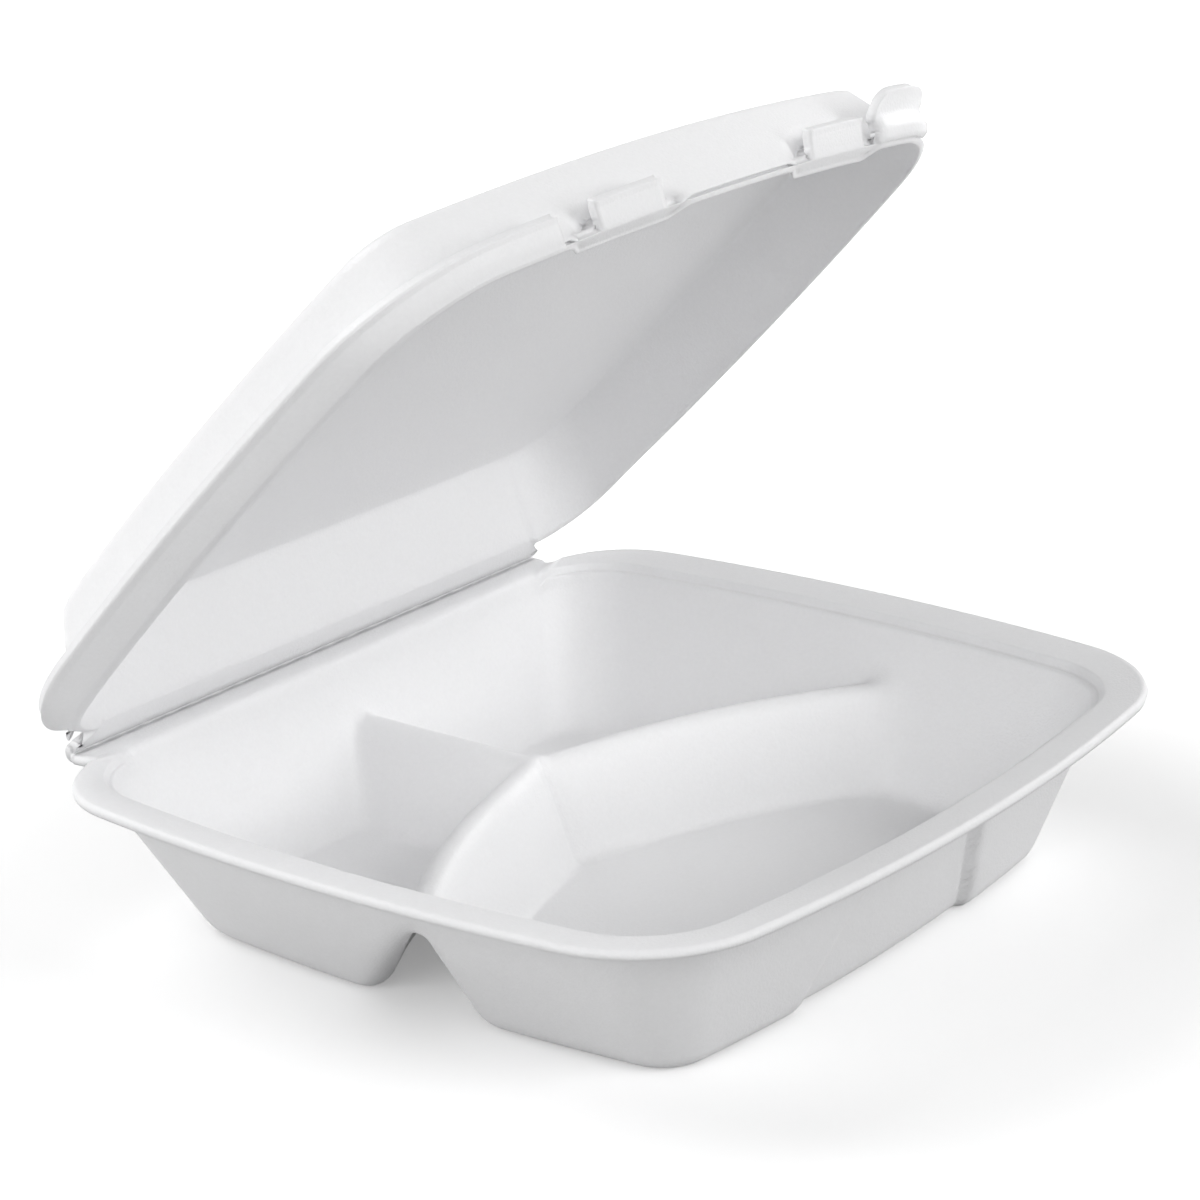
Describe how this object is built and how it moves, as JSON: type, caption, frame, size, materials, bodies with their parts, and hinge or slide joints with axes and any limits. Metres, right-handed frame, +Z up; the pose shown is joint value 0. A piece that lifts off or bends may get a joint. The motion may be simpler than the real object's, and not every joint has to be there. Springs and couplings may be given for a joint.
{
  "type": "foam clamshell container",
  "caption": "White foam clamshell food container with a three-compartment base and a hinged lid standing half open.",
  "frame": {"origin": "middle of the container's width, on the plane that its feet stand on", "axes": "+Z up, X along the fold of the lid, +Y from the lid's locks at the front to the fold at the back"},
  "size_m": [0.24, 0.2167, 0.2012],
  "materials": {
    "foam": "satin"
  },
  "bodies": {
    "base": {"base_tray": "foam"},
    "lid": {"lid": "foam"}
  },
  "joints": [
    {"name": "lid_fold", "type": "hinge", "parent": "base", "child": "lid", "pos_m": [0, 0.0975, 0.045], "axis": [-1, 0, 0], "range_deg": [-45, 135]}
  ]
}
